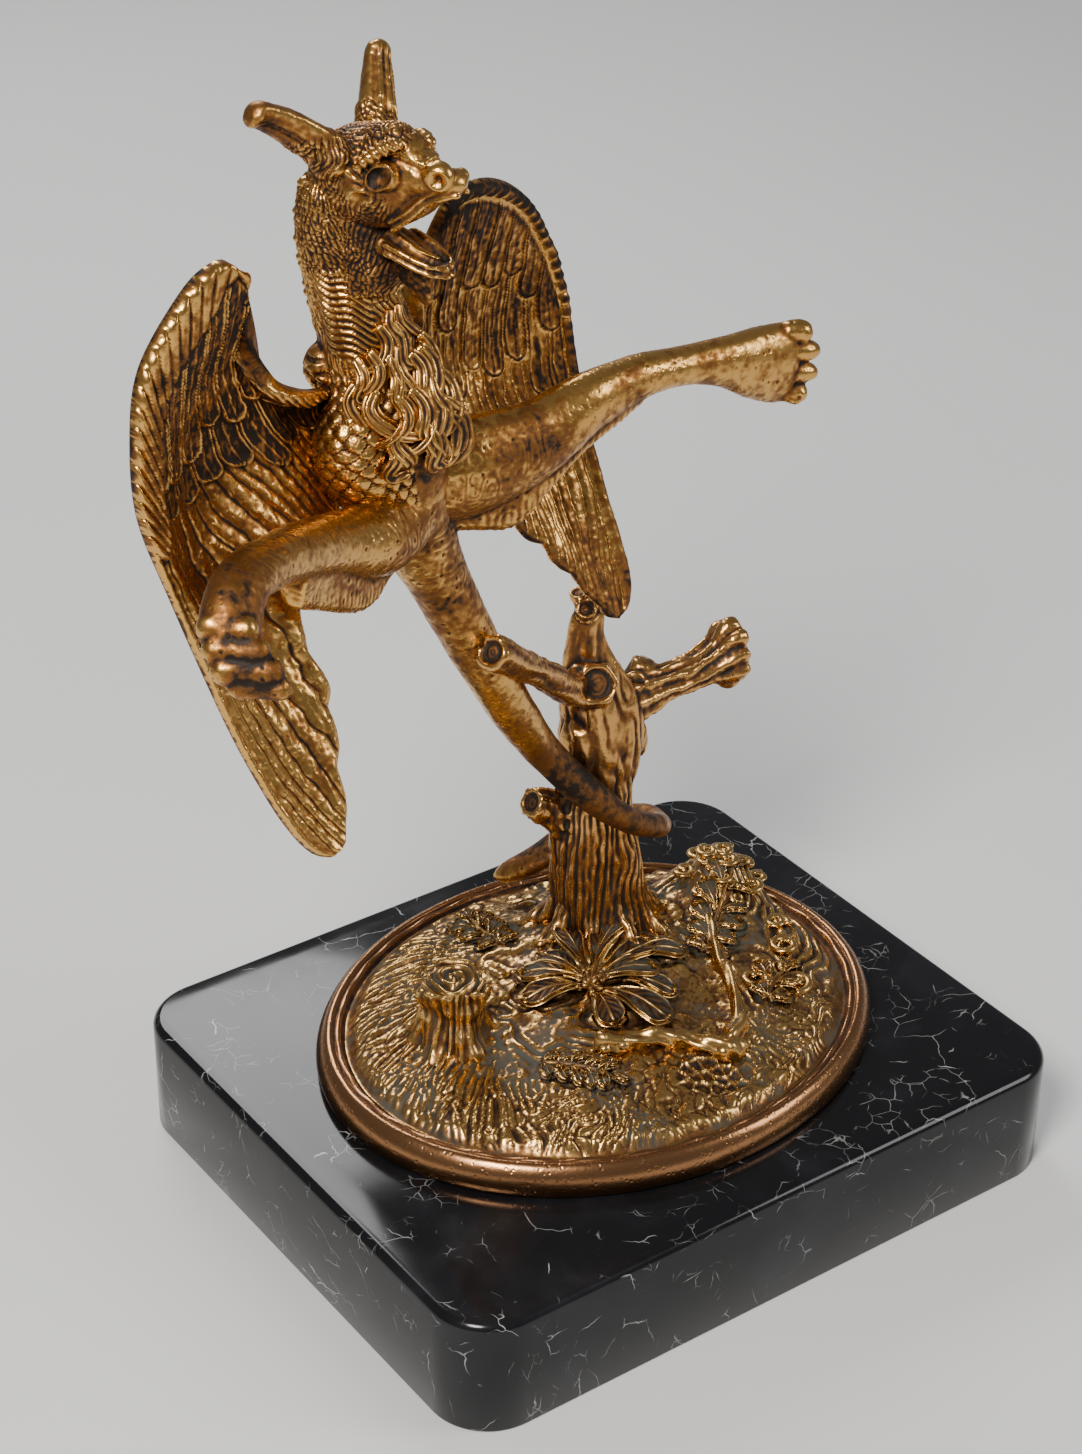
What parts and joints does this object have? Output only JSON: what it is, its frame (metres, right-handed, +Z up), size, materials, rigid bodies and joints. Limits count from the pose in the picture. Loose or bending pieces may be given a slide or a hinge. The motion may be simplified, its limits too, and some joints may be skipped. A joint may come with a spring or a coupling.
{
  "type": "statue with plinth",
  "caption": "Cast bronze fabulous winged beast with outstretched forelegs, tail round a tree stump, on a leafy oval and a marble plinth.",
  "frame": {"origin": "middle of the plinth's underside", "axes": "+Z up, X along the plinth's long side with the right branch towards +X, +Y away from the side the beast faces"},
  "size_m": [0.2451, 0.168, 0.32],
  "materials": {
    "black_marble": "polished, fine white veins",
    "brown_bronze": "worn copper-brown patina",
    "gilt_bronze": "worn gilt with dark patina in the recesses"
  },
  "bodies": {
    "root": {"marble_plinth": "black_marble", "oval_ground_with_tree": "brown_bronze", "chimera": "gilt_bronze"}
  },
  "joints": []
}
